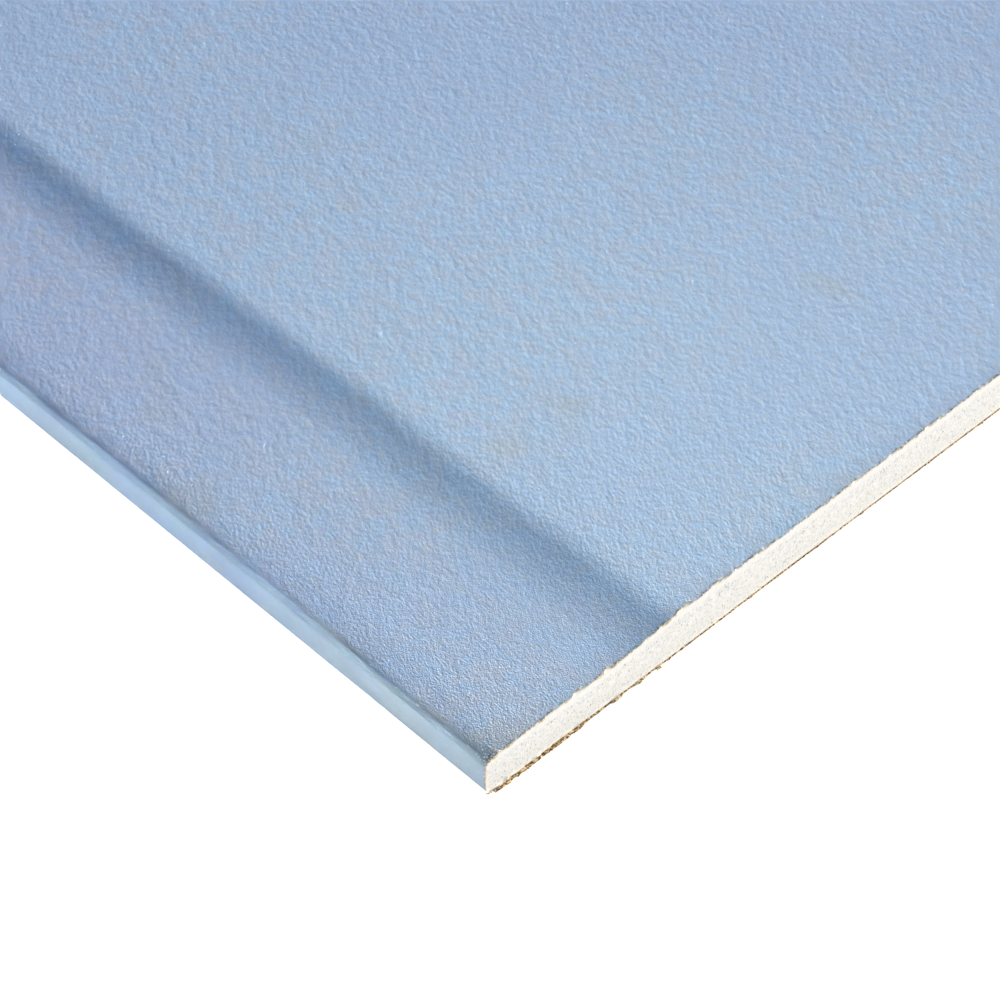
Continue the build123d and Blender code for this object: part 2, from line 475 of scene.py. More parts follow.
# --------------------------------------------------------------------------
# Gypsum core
# --------------------------------------------------------------------------
def core_outline(x, y):
    """Points of the core's underside and of its top at each y, just inside the papers."""
    n = len(HALF_ROWS)
    w, wi = from_side(y), at(S_ALL[:n], PAPER)[0] + SIDE
    lo, hi, fold = PART_AT[1], PART_AT[2], PART_AT[3]
    s_top = np.interp(w, wi[fold:], S_ALL[fold:n])
    s_low = np.interp(w, wi[lo:hi + 1][::-1], S_ALL[lo:hi + 1][::-1])
    s_top, s_low = (np.where(y > 0, S_TOTAL - v, v) for v in (s_top, s_low))
    top, low = surface(x, s_top, PAPER), surface(x, s_low, PAPER)
    under = w >= UNDER_R
    low[under, 1] = y[under]
    low[under, 2] = np.where(w[under] > LAP, PAPER, 2 * PAPER)
    return low, top


def build_core():
    g = Mesh()
    first = [PAPER, PAPER + 0.02, PAPER + 0.07, PAPER + 0.16, PAPER + 0.3, PAPER + 0.5, PAPER + 0.75, PAPER + 1.0]
    caps = {}
    for end in (1, -1):
        sides = []
        for side in (-1, 1):
            cols = list(first)
            while cols[-1] < SIDE - 0.6:
                cols.append(cols[-1] + (0.32 if (end > 0 and side < 0 and cols[-1] < 205) else 1.15))
            sides.append(side * (SIDE - np.array(cols)))
        y = np.unique(np.round(np.concatenate([sides[0], sides[1]]), 4))
        y = y[np.concatenate([[True], np.diff(y) > 0.01])]
        low, top = core_outline(end * HALF, y)
        nz = 30 if end > 0 else 16
        t = np.linspace(0, 1, nz + 1)
        Y = low[:, 1:2] + (top - low)[:, 1:2] * t[None, :]
        Z = low[:, 2:3] + (top - low)[:, 2:3] * t[None, :]
        k = 0.0 if end > 0 else 900.0
        # sawn relief: broad waves, fine grain and a few pores, never past the end plane
        relief = 0.05 * fractal(Y / 16.0 + k, Z / 10.0, 101, 3) + 0.020 * noise2(Y / 1.6 + k, Z / 1.6, 103)
        relief = relief + 0.020 * noise2(Y / 0.7 + k, Z / 0.7, 105)
        zt, zb = top[:, 2:3], low[:, 2:3]
        lower = 1 - rise(Z, zt - 3.2, zt - 1.2)
        deep = 0.16 * rise(noise2(Y / 0.62 + k, Z / 0.62, 107), 0.74, 0.92) + 0.20 * rise(noise2(Y / 0.95 + k, Z / 0.95, 109), 0.84, 0.95)
        short = 0.085 - relief + deep * (0.1 + 0.9 * lower)
        # the arris under the paper is slightly crumbled
        crumb = rise(Z, zt - 0.30, zt) * (0.03 + 0.10 * np.abs(noise2(Y / 0.9 + k, 0 * Z, 111)))
        crumb = crumb + (1 - rise(Z, zb, zb + 0.3)) * 0.06
        X = end * (HALF - np.clip(short + crumb, 0.0, None) + foot(end, Y, Z))
        ids = [g.add(np.stack([X[i], Y[i], Z[i]], 1)) for i in range(len(y))]
        for a, b in zip(ids[:-1], ids[1:]):
            g.quads(a, b)
        caps[end] = ids

    # rings along the length: tight to the paper at the ends, a little inside it elsewhere
    inner = [HALF - 40] + list(np.linspace(HALF - 100, 100 - HALF, 36)) + [40 - HALF]
    rings = []
    for x in [HALF - 5] + inner + [5 - HALF]:
        p = surface(x, ROWS, PAPER + (0.12 if abs(x) < HALF - 10 else 0.0))
        p = np.vstack([p, [[x, SIDE - LAP, PAPER], [x, LAP - SIDE, PAPER]]])
        ids = g.add(p)
        rings.append(np.append(ids, ids[0]))
    for a, b in zip(rings[:-1], rings[1:]):
        g.quads(a, b)

    # places round the outline, for joining the sawn ends to the first and last ring
    ly, lz = at(S_ALL, PAPER)[:2]
    ls = np.concatenate([[0], np.cumsum(np.hypot(np.diff(ly), np.diff(lz)))])
    total = ls[-1]
    full_s = np.concatenate([np.interp(ROWS, S_ALL, ls), [total + PAPER, total + PAPER + WIDTH - 2 * LAP]])
    full_s = np.append(full_s, full_s[-1] + PAPER)
    for end, ring in ((1, rings[0]), (-1, rings[-1])):
        ids = caps[end]
        bottom, top = [c[0] for c in ids], [c[-1] for c in ids]
        left, right = list(ids[0]), list(ids[-1])
        yb = g.at(bottom)[:, 1]
        lap_l, lap_r = int(np.searchsorted(yb, LAP - SIDE)), int(np.searchsorted(yb, SIDE - LAP))
        loop = bottom[:lap_l][::-1] + left[1:] + top[1:] + right[:-1][::-1] + bottom[lap_r:-1][::-1]
        under = bottom[lap_l:lap_r][::-1]
        s = np.maximum.accumulate(place_on(ly, lz, ls, g.at(loop)[:, 1:]))
        s_under = total + PAPER + (SIDE - LAP - g.at(under)[:, 1])
        all_ids = loop + under + [loop[0]]
        all_s = np.concatenate([s, s_under, [full_s[-1] + s[0]]])
        g.zipped(all_ids, all_s, ring, full_s)
    return g


def place_on(ly, lz, ls, p):
    """Place along the line (ly, lz) nearest to each of the points p."""
    a = np.stack([ly[:-1], lz[:-1]], 1)
    d = np.stack([np.diff(ly), np.diff(lz)], 1)
    len2 = (d ** 2).sum(1)
    out = np.empty(len(p))
    for k in range(0, len(p), 400):
        q = p[k:k + 400]
        r = q[:, None, :] - a[None]
        t = np.clip((r * d[None]).sum(2) / len2[None], 0, 1)
        dist = ((r - t[..., None] * d[None]) ** 2).sum(2)
        j = dist.argmin(1)
        out[k:k + 400] = ls[j] + t[np.arange(len(q)), j] * np.sqrt(len2[j])
    return out


# --------------------------------------------------------------------------
# Back paper
# --------------------------------------------------------------------------
def build_back():
    g = Mesh()
    lo, hi = BACK_MARGIN - SIDE, SIDE - BACK_MARGIN
    coarse = np.linspace(lo, hi, 49)
    ends = {}
    for end in (1, -1):
        y = lo + spaced(hi - lo, lambda t: 0.20 if (end > 0 and t < 215) else 0.65)
        out = back_end(end, y)
        k = 0.0 if end > 0 else 50.0
        n1, n2 = noise1(y / 0.5 + k, 121), noise1(y / 0.75 + k, 123)
        n3, n4 = noise1(y / 2.1 + k, 125), noise1(y / 0.36 + k, 127)
        curl = 0.12 * rise(fractal1(y / 5.0 + k, 129), 0.0, 0.5) * rise(out, 0.15, 0.5)
        # rows from the upper skin, over the torn edge, to the lower skin: (dx, z)
        spec = [
            (-0.6 + 0 * y, PAPER + 0 * y),
            (0.02 + 0.06 * out, PAPER + 0.03 * n3),
            (out * 0.30 + 0.04 * n2, PAPER * (1.02 + 0.20 * n1) + 0.3 * curl),
            (out * 0.62 + 0.05 * n4, PAPER * (0.95 + 0.30 * n2 + 0.15 * n3) + 0.8 * curl),
            (out * (0.90 + 0.08 * n1), PAPER * (0.78 + 0.30 * n4) + curl),
            (out * (1.0 + 0.05 * n2), PAPER * (0.50 + 0.22 * n2) + 0.8 * curl),
            (out * (0.90 + 0.10 * n4), PAPER * (0.20 + 0.12 * n1) + 0.4 * curl),
            (out * 0.55, 0.012 + 0.03 * np.abs(n2)),
            (-0.3 + 0 * y, 0 * y),
        ]
        hidden = foot(end, y, PAPER)
        rows = [g.add(np.stack([end * (HALF + dx), y, np.maximum(z, 0.0)], 1), dx - hidden) for dx, z in spec]
        flat = np.full(len(coarse), end * (HALF - 5.0))
        up = g.add(np.stack([flat, coarse, np.full(len(coarse), PAPER)], 1))
        down = g.add(np.stack([flat, coarse, np.zeros(len(coarse))], 1))
        g.zipped(rows[0], y, up, coarse)
        for j, (a, b) in enumerate(zip(rows[:-1], rows[1:])):
            g.quads(b, a, 1 if 1 <= j <= 6 else 0)
        g.zipped(down, coarse, rows[-1], y)
        ends[end] = (up, down, rows)
    ups, downs = [ends[1][0]], [ends[1][1]]
    for x in np.linspace(HALF - 5.0, 5.0 - HALF, 40)[1:-1]:
        ups.append(g.add(np.stack([np.full(len(coarse), x), coarse, np.full(len(coarse), PAPER)], 1)))
        downs.append(g.add(np.stack([np.full(len(coarse), x), coarse, np.zeros(len(coarse))], 1)))
    ups.append(ends[-1][0])
    downs.append(ends[-1][1])
    for rows in (ups, downs):
        for a, b in zip(rows[:-1], rows[1:]):
            g.quads(a, b)
    for k in (0, -1):
        for u, d in zip(zip(ups[:-1], ups[1:]), zip(downs[:-1], downs[1:])):
            g.face((u[0][k], d[0][k], d[1][k], u[1][k]))
        for end in (1, -1):
            up, down, rows = ends[end]
            g.face([up[k]] + [r[k] for r in rows] + [down[k]])
    return g


# --------------------------------------------------------------------------
# Loose fibres and crumbs along the cut ends
# --------------------------------------------------------------------------
STRAW, BROWN, PALE_BLUE, CHALK, CREAM, SLATE = range(6)
OCTAHEDRON = [(0, 2, 4), (2, 1, 4), (1, 3, 4), (3, 0, 4), (2, 0, 5), (1, 2, 5), (3, 1, 5), (0, 3, 5)]


def build_debris():
    """Short torn fibres and crumbs along the cut edges of both papers."""
    rng = np.random.default_rng(20240611)
    g = Mesh()

    def strand(p, direction, length, width, bend, mat, floor=0.01):
        d = Vector(direction).normalized()
        across = Vector((0, 1, 0)).cross(d)
        across = (across if across.length > 0.05 else Vector((0, 0, 1)).cross(d)).normalized()
        other = d.cross(across).normalized()
        rings = []
        for i in range(4):
            t = i / 3
            c = Vector(p) + d * (length * t) + Vector(bend) * (t * t * length)
            r = width / 2 * (1 - 0.7 * t)
            ring = [c + across * r, c - across * (r * 0.5) + other * (r * 0.9), c - across * (r * 0.5) - other * (r * 0.9)]
            rings.append(g.add([[q.x, q.y, max(q.z, floor)] for q in ring], t))
        for a, b in zip(rings[:-1], rings[1:]):
            for k in range(3):
                g.face((a[k], a[(k + 1) % 3], b[(k + 1) % 3], b[k]), mat)
        g.face(rings[0][::-1], mat)
        g.face(rings[-1], mat)

    def crumb(p, radius, mat, squash=0.8):
        turn, _ = np.linalg.qr(rng.normal(size=(3, 3)))
        reach = radius * (0.65 + 0.6 * rng.random((6, 1)))
        corners = np.array([[1, 0, 0], [-1, 0, 0], [0, 1, 0], [0, -1, 0], [0, 0, 1], [0, 0, -1]], float) * reach
        corners = (corners + rng.normal(size=(6, 3)) * radius * 0.12) @ turn
        corners[:, 2] *= squash
        q = np.asarray(p) + corners
        q[:, 2] = np.maximum(q[:, 2], 0.005)
        ids = g.add(q)
        for f in OCTAHEDRON:
            g.face([ids[i] for i in f], mat)

    def pick(chances):
        return int(rng.choice(len(chances), p=chances))

    for end in (1, -1):
        k = 0.0 if end > 0 else 40.0
        # torn edge of the back paper, denser where it stands out further
        ys = np.arange(BACK_MARGIN - SIDE, SIDE - BACK_MARGIN, 0.05)
        outs = back_end(end, ys)
        y = BACK_MARGIN - SIDE + 0.2
        while True:
            out = float(np.interp(y, ys, outs))
            y += rng.exponential(0.40 if out > 0.60 else 1.4)
            if y > SIDE - BACK_MARGIN - 0.3:
                break
            out = float(np.interp(y, ys, outs))
            free = max(out - 0.30, 0.05)
            length = (0.15 + 0.45 * rng.random()) * (0.35 + 0.6 * min(free, 1.0))
            ang, lift = rng.normal(0, 0.7), rng.normal(0.0, 0.35)
            start = (end * (HALF + out - free * (0.1 + 0.5 * rng.random())), y, PAPER * (0.2 + 0.7 * rng.random()))
            strand(start, (end * math.cos(ang), math.sin(ang), lift), length, 0.05 + 0.08 * rng.random(),
                   (0, rng.normal(0, 0.3), rng.normal(-0.2, 0.25)), BROWN if rng.random() < 0.5 else STRAW)
        y = BACK_MARGIN - SIDE + 0.1
        while True:
            out = float(np.interp(y, ys, outs))
            near = end > 0 and y < 48 - SIDE
            y += rng.exponential(0.16 if near and out > 0.5 else 0.45 if out > 0.55 else 1.5)
            if y > SIDE - BACK_MARGIN - 0.3:
                break
            out = float(np.interp(y, ys, outs))
            free = max(out - 0.30, 0.05)
            r = (0.07 + 0.10 * rng.random()) * (0.60 + 0.7 * min(free, 0.6))
            mat = (BROWN, STRAW, CREAM)[pick((0.46, 0.34, 0.20) if out > 0.5 else (0.75, 0.15, 0.10))]
            crumb((end * (HALF + out - free * 0.9 * rng.random()), y, 0.05 + 0.34 * rng.random()), r, mat)

        # crumbs over the face paper's cut edge, in clusters
        ss = np.arange(0, S_TOTAL, 0.05)
        shorts = paper_end(end, ss)
        many = 1.2 + 4.5 * rise(noise1(ss / 3.6 + k, 141), 0.15, 0.75) + 2.5 * rise(noise1(ss / 0.8 + k, 142), 0.3, 0.8)
        ny, nz = at(ss)[2:]
        w = from_side(at(ss)[0])
        if end > 0:
            own = at(ss)[0] + SIDE
            many = many + 16.0 * hump(own, 1.6, 4.2) + 5.0 * (hump(own, 27, 2.5) + hump(own, 58, 2.8) + hump(own, 69, 3.5) + hump(own, 137.5, 2.5))
        else:
            many = many * 0.8
        many = many * np.where(nz > 0.2, 1.0, 0.35) * (nz > -0.3)
        for s in ss[rng.random(len(ss)) < many * 0.05]:
            own = float(np.interp(s, ss, w))
            upright = float(np.interp(s, ss, nz)) < 0.3
            corner = own < 4.5 and not upright
            r = 0.05 + 0.11 * rng.random() ** 1.6 + (0.10 * rng.random() ** 2 if corner else 0.0)
            back = float(np.interp(s, ss, shorts)) + rng.exponential(0.10 if upright else 0.55 if corner else 0.26) - 0.16
            q = surface(end * (HALF - max(back, 0.02)), np.array([s]), -(0.07 + 0.35 * r))[0]
            mat = (CHALK, STRAW, SLATE, CREAM)[pick((0.42, 0.07, 0.33, 0.18) if corner else
                                                   (0.15, 0.45, 0.15, 0.25) if upright else (0.50, 0.14, 0.16, 0.20))]
            crumb(q, r, mat)

        # fibres of the blue ply
        s = 3.0
        while True:
            s += rng.exponential(1.8)
            if s > S_TOTAL - 3:
                break
            if float(np.interp(s, ss, nz)) < 0.1:
                continue
            q = surface(end * (HALF - float(np.interp(s, ss, shorts)) - 0.05), np.array([s]), 0.08)[0]
            strand(q, (end * 0.6, rng.normal(0, 0.9), 0.25), 0.16 + 0.26 * rng.random(), 0.05 + 0.04 * rng.random(),
                   (0, 0, rng.normal(-0.4, 0.4)), PALE_BLUE if rng.random() < 0.6 else STRAW)

    # bigger bits where the photographed corner's top edge is bruised
    for k in range(58):
        w = 0.3 + abs(rng.normal(0.0, 1.7))
        s = float(np.interp(w, HALF_ROWS[PART_AT[3]:, 0], S_ALL[PART_AT[3]:len(HALF_ROWS)]))
        r = 0.09 + 0.14 * rng.random() ** 1.3
        q = surface(HALF + 0.10 - rng.exponential(0.7), np.array([s]), -(0.05 + 0.3 * r))[0]
        q[0] = min(q[0], HALF + 0.12)
        crumb(q, r, (CHALK, CREAM, STRAW, SLATE)[pick((0.46, 0.14, 0.08, 0.32))])
    # bits round the foot of the photographed corner
    for k in range(46):
        y = abs(rng.normal(0.0, 1.7)) + 0.15
        crumb((HALF + 0.02 + 0.16 * rng.random() + 0.12 * min(y, 3.0), y - SIDE, 0.06 + 0.40 * rng.random() + 0.5 * max(0.0, 0.8 - y)),
              0.06 + 0.09 * rng.random(), (STRAW, CREAM, BROWN)[pick((0.45, 0.17, 0.38))])
    # one tuft that hangs out of the back paper's edge near the photographed corner
    for k in range(14):
        strand((HALF + 0.40 + 0.20 * rng.random(), 50.2 - SIDE + rng.normal(0, 0.28), 0.10 + 0.2 * rng.random()),
               (1.0, rng.normal(0.1, 0.5), rng.normal(0.05, 0.2)), 0.35 + 0.35 * rng.random(), 0.10 + 0.08 * rng.random(),
               (0, rng.normal(0, 0.3), -0.2), BROWN)
    return g


# --------------------------------------------------------------------------
# Materials
# --------------------------------------------------------------------------
def srgb(r, g, b):
    def lin(c):
        c = c / 255.0
        return c / 12.92 if c <= 0.04045 else ((c + 0.055) / 1.055) ** 2.4
    return (lin(r), lin(g), lin(b), 1.0)


class Nodes:
    """Short hand for one material's nodes.  Sizes are in millimetres."""

    def __init__(self, name, roughness=0.9, specular=0.2):
        self.mat = bpy.data.materials.new(name)
        self.mat.use_nodes = True
        self.t = self.mat.node_tree
        self.bsdf = self.t.nodes["Principled BSDF"]
        self.bsdf.inputs["Roughness"].default_value = roughness
        self.bsdf.inputs["Specular IOR Level"].default_value = specular
        self.coord = self.t.nodes.new("ShaderNodeTexCoord").outputs["Object"]

    def new(self, kind, **values):
        n = self.t.nodes.new(kind)
        for k, v in values.items():
            setattr(n, k, v)
        return n

    def put(self, socket, value):
        if isinstance(value, bpy.types.NodeSocket):
            self.t.links.new(value, socket)
        else:
            socket.default_value = value

    def colour(self, value):
        self.put(self.bsdf.inputs["Base Color"], value)

    def mesh_tag(self):
        return self.new("ShaderNodeAttribute", attribute_name="mesh_tag").outputs["Fac"]

    def mapped(self, stretch=(1, 1, 1), turn=(0, 0, 0), shift=(0, 0, 0)):
        """Coordinates turned about the object's axes and then drawn out along the turned axes."""
        n = self.new("ShaderNodeMapping", vector_type="TEXTURE")
        self.put(n.inputs["Vector"], self.coord)
        n.inputs["Scale"].default_value = stretch
        n.inputs["Rotation"].default_value = [math.radians(v) for v in turn]
        n.inputs["Location"].default_value = shift
        return n.outputs["Vector"]

    def noise(self, size, detail=2.0, rough=0.5, distort=0.0, vector=None, ridged=False):
        n = self.new("ShaderNodeTexNoise")
        self.put(n.inputs["Vector"], vector or self.coord)
        n.inputs["Scale"].default_value = 1000.0 / size
        n.inputs["Detail"].default_value = detail
        self.put(n.inputs["Roughness"], rough)
        n.inputs["Distortion"].default_value = distort
        return n.outputs["Fac"]

    def cells(self, size, vector=None, output="Distance", feature="F1"):
        n = self.new("ShaderNodeTexVoronoi", feature=feature)
        self.put(n.inputs["Vector"], vector or self.coord)
        n.inputs["Scale"].default_value = 1000.0 / size
        return n.outputs[output]

    def math(self, op, a, b=None, c=None):
        n = self.new("ShaderNodeMath", operation=op)
        for socket, value in zip(n.inputs, (a, b, c)):
            if value is not None:
                self.put(socket, value)
        return n.outputs[0]

    def span(self, value, a, b, lo=0.0, hi=1.0, linear=False):
        n = self.new("ShaderNodeMapRange", interpolation_type="LINEAR" if linear else "SMOOTHSTEP")
        self.put(n.inputs["Value"], value)
        for name, v in (("From Min", a), ("From Max", b), ("To Min", lo), ("To Max", hi)):
            n.inputs[name].default_value = v
        return n.outputs["Result"]

    def mix(self, fac, a, b, blend="MIX"):
        n = self.new("ShaderNodeMix", data_type="RGBA", blend_type=blend)
        self.put(n.inputs["Factor"], fac)
        self.put(n.inputs[6], a)
        self.put(n.inputs[7], b)
        return n.outputs[2]

    def grey(self, value):
        n = self.new("ShaderNodeCombineXYZ")
        for k in range(3):
            self.put(n.inputs[k], value)
        return n.outputs[0]

    def xyz(self):
        n = self.new("ShaderNodeSeparateXYZ")
        self.put(n.inputs[0], self.coord)
        return [self.math("MULTIPLY", v, 1000.0) for v in n.outputs]

    def bump(self, height, distance, normal=None):
        n = self.new("ShaderNodeBump")
        n.inputs["Strength"].default_value = 1.0
        n.inputs["Distance"].default_value = distance * MM
        self.put(n.inputs["Height"], height)
        if normal is not None:
            self.put(n.inputs["Normal"], normal)
        self.put(self.bsdf.inputs["Normal"], n.outputs["Normal"])
        return n.outputs["Normal"]


def blue_face():
    m = Nodes("face_blue_paper", 0.88, 0.25)
    x, y, z = m.xyz()
    w = m.math("SUBTRACT", SIDE, m.math("ABSOLUTE", y))
    from_end = m.math("SUBTRACT", HALF, m.math("ABSOLUTE", x))
    mesh_tag = m.mesh_tag()

    # felt grain, crisp near the ends and the long sides and softer towards the middle of the sheet
    away = m.math("MULTIPLY_ADD", w, 0.95, from_end)
    turned = m.mapped((1.35, 1, 1), (0, 0, -36))
    felt = m.noise(0.62, 2.0, m.span(away, 10.0, 165.0, 0.78, 0.06), 0.0, turned)
    fine = m.noise(0.34, 0.0)
    soft = m.noise(2.3, 1.0, 0.55, 0.0, turned)
    pits = m.cells(6.0)

    # colour: dusty blue with faint clouds between lavender blue and straw grey
    cloud = m.noise(6.5, 2.0, 0.72)
    tint = m.mix(m.span(cloud, 0.32, 0.68), FACE_A, FACE_B)
    wide = m.noise(60.0, 1.0, 0.55)
    tint = m.mix(m.span(wide, 0.30, 0.70, 0.0, 0.6), tint, FACE_C)
    straw = m.noise(2.3, 1.0, 0.65, 0.0, m.mapped(shift=(0.7, 0.3, 0.1)))
    tint = m.mix(m.span(straw, 0.52, 0.76, 0.0, 0.30), tint, srgb(188, 199, 206))
    violet = m.noise(2.0, 1.0, 0.6, 0.0, m.mapped(shift=(0.2, 0.9, 0.4)))
    tint = m.mix(m.span(violet, 0.55, 0.78, 0.0, 0.26), tint, srgb(169, 187, 232))
    # the strip beside the long side turns a little lavender away from the end
    strip = m.math("MULTIPLY", m.span(w, 58.0, 30.0), m.span(from_end, 30.0, 190.0, 0.35, 1.0))
    tint = m.mix(strip, tint, (1.06, 0.972, 0.983, 1.0), "MULTIPLY")
    # handled grey round the corners
    tint = m.mix(m.span(away, 19.0, 5.0, 0.0, 0.9), tint, (1.02, 0.95, 0.84, 1.0), "MULTIPLY")
    value = m.span(felt, 0.25, 0.75, 0.97, 1.03, linear=True)
    pepper = m.math("MULTIPLY", m.math("SUBTRACT", fine, 0.5), m.span(away, 190.0, 8.0, 0.0, 0.36))
    value = m.math("MULTIPLY", value, m.math("ADD", pepper, 1.0))
    col = m.mix(1.0, tint, m.grey(value), "MULTIPLY")

    # small pale specks, rarer dark ones, and faint yellow handling stains
    pale = m.span(pits, 0.042, 0.024)
    col = m.mix(m.math("MULTIPLY", pale, 0.45), col, srgb(216, 228, 242))
    dark = m.span(m.cells(9.0, m.mapped(shift=(0.13, 0.57, 0))), 0.028, 0.016)
    col = m.mix(m.math("MULTIPLY", dark, 0.65), col, srgb(70, 84, 104))
    grit = m.noise(0.36, 0.0, 0.5, 0.0, m.mapped(shift=(0.5, 0.2, 0.8)))
    gritty = m.span(away, 46.0, 6.0)
    col = m.mix(m.math("MULTIPLY", m.span(grit, 0.60, 0.74, 0.0, 0.62), gritty), col, srgb(214, 219, 222))
    col = m.mix(m.math("MULTIPLY", m.span(grit, 0.38, 0.24, 0.0, 0.45), gritty), col, srgb(96, 106, 116))
    stain = m.noise(34.0, 2.0, 0.6, 0.0, m.mapped(shift=(0.31, 0.77, 0.2)))
    col = m.mix(m.span(stain, 0.62, 0.76, 0.0, 0.24), col, srgb(176, 180, 172))

    # the side band is smoother, in soft patches and greener towards the end, with painted shade darkening it towards
    # its foot by the floor
    band = m.math("MULTIPLY", m.span(w, 1.5, 0.7), m.span(z, 10.2, 9.7))
    patch = m.noise(9.0, 2.0, 0.6, 0.0, m.mapped((2.2, 1, 1), shift=(0.1, 0.5, 0.9)))
    blues = m.mix(m.span(patch, 0.36, 0.66), SIDE_A, SIDE_B)
    greens = m.mix(m.span(patch, 0.36, 0.66), SIDE_C, SIDE_D)
    side_col = m.mix(m.span(from_end, 90.0, 6.0), blues, greens)
    scuff = m.noise(2.2, 2.0, 0.7, 0.0, m.mapped((2.8, 1, 1), shift=(0.6, 0.1, 0.3)))
    side_col = m.mix(m.span(scuff, 0.54, 0.76, 0.0, 0.4), side_col, srgb(192, 198, 196))
    # painted shade: the band grows darker towards the floor
    side_col = m.mix(1.0, side_col, m.grey(m.span(z, 7.8, 2.4, 1.0, 0.86)), "MULTIPLY")
    side_col = m.mix(1.0, side_col, m.grey(m.math("ADD", m.math("MULTIPLY", pepper, 0.45), 1.0)), "MULTIPLY")
    col = m.mix(band, col, side_col)
    # the crease at the foot of the rim is tinted grey in patches, mostly near the end
    crease = m.math("MULTIPLY", m.span(w, 0.6, 1.0), m.span(w, 3.2, 1.4))
    crease_grey = m.noise(11.0, 1.0, 0.6, 0.0, m.mapped((2, 1, 1), shift=(0.4, 0.2, 0.6)))
    crease_grey = m.math("MULTIPLY", m.span(crease_grey, 0.36, 0.70, 0.25, 1.0), m.span(from_end, 130.0, 8.0, 0.26, 0.60))
    col = m.mix(m.math("MULTIPLY", crease, crease_grey), col, srgb(178, 181, 176))

    # beside a cut the paper is a little darker, and along the cut edge runs a broken slate-grey line, partly the
    # fibres' own grey and partly painted shade at the edge, with chalky crumbs
    col = m.mix(m.span(from_end, 7.0, 0.0, 0.0, 0.13), col, srgb(120, 140, 166))
    frayed = m.noise(1.9, 2.0, 0.7)
    # painted shade in part: the broken slate line along the cut edge
    edge = m.math("MULTIPLY", m.span(mesh_tag, 0.85, 0.05), m.span(frayed, 0.42, 0.62, 0.0, 0.85))
    edge = m.math("MULTIPLY", edge, m.span(z, 6.5, 9.4, 0.30, 1.0))
    col = m.mix(edge, col, srgb(92, 106, 128))
    crumb = m.noise(0.55, 1.0, 0.5, 0.0, m.mapped(shift=(0.3, 0.3, 0.3)))
    crumbs = m.math("MULTIPLY", m.span(crumb, 0.58, 0.66), m.span(mesh_tag, 0.8, 0.3))
    col = m.mix(m.math("MULTIPLY", crumbs, 0.80), col, srgb(236, 230, 216))
    m.colour(col)

    height = m.math("MULTIPLY", m.span(felt, 0.2, 0.8, linear=True), m.span(away, 20.0, 168.0, 0.74, 0.165))
    height = m.math("MULTIPLY_ADD", m.span(fine, 0.2, 0.8, linear=True), m.span(away, 112.0, 15.0, 0.0, 0.50), height)
    height = m.math("MULTIPLY_ADD", m.span(soft, 0.2, 0.8, linear=True), 0.62, height)
    height = m.math("MULTIPLY_ADD", m.span(pits, 0.055, 0.012), 0.30, height)
    height = m.math("MULTIPLY", height, m.span(z, 8.6, 9.8, 0.12, 1.0))
    m.bump(height, GRAIN)
    return m.mat


GRAIN = 0.110
FACE_A, FACE_B, FACE_C = srgb(175, 194, 221), srgb(166, 197, 231), srgb(166, 192, 229)
SIDE_A, SIDE_B, SIDE_C, SIDE_D = srgb(158, 181, 206), srgb(162, 184, 200), srgb(165, 185, 197), srgb(167, 185, 192)


def outer_ply():
    """The blue ply where the cut goes through it; straw-coloured low on the side."""
    m = Nodes("face_cut_blue_ply", 0.92)
    z = m.xyz()[2]
    n = m.noise(0.9, 2.0, 0.7)
    col = m.mix(m.span(n, 0.36, 0.54), srgb(98, 106, 120), srgb(216, 208, 192))
    col = m.mix(m.span(z, 8.6, 7.0, 0.0, 0.85), col, m.mix(m.span(n, 0.35, 0.65), srgb(196, 184, 156), srgb(228, 218, 196)))
    col = m.mix(m.span(z, 1.6, 1.0), col, srgb(250, 247, 238))
    col = m.mix(m.span(m.noise(0.5, 1.0, 0.5), 0.58, 0.70, 0.0, 0.8), col, srgb(240, 236, 228))
    m.colour(col)
    m.bump(m.noise(0.35, 2.0, 0.6), 0.05)
    return m.mat


def inner_ply():
    """The pale plies under the blue one: straw to peach where torn, chalky elsewhere."""
    m = Nodes("face_inner_plies", 0.93)
    tear = m.mesh_tag()
    z = m.xyz()[2]
    n = m.noise(0.8, 2.0, 0.7)
    f = m.noise(0.40, 1.0, 0.6)
    col = m.mix(m.span(n, 0.38, 0.62), srgb(216, 188, 146), srgb(240, 226, 200))
    col = m.mix(m.span(f, 0.56, 0.68, 0.0, 0.65), col, srgb(168, 138, 100))
    col = m.mix(m.span(tear, 0.45, 0.12), col, srgb(242, 234, 218))
    col = m.mix(m.span(z, 1.6, 1.0, 0.0, 0.95), col, srgb(252, 249, 241))
    m.colour(col)
    m.bump(f, 0.05)
    return m.mat


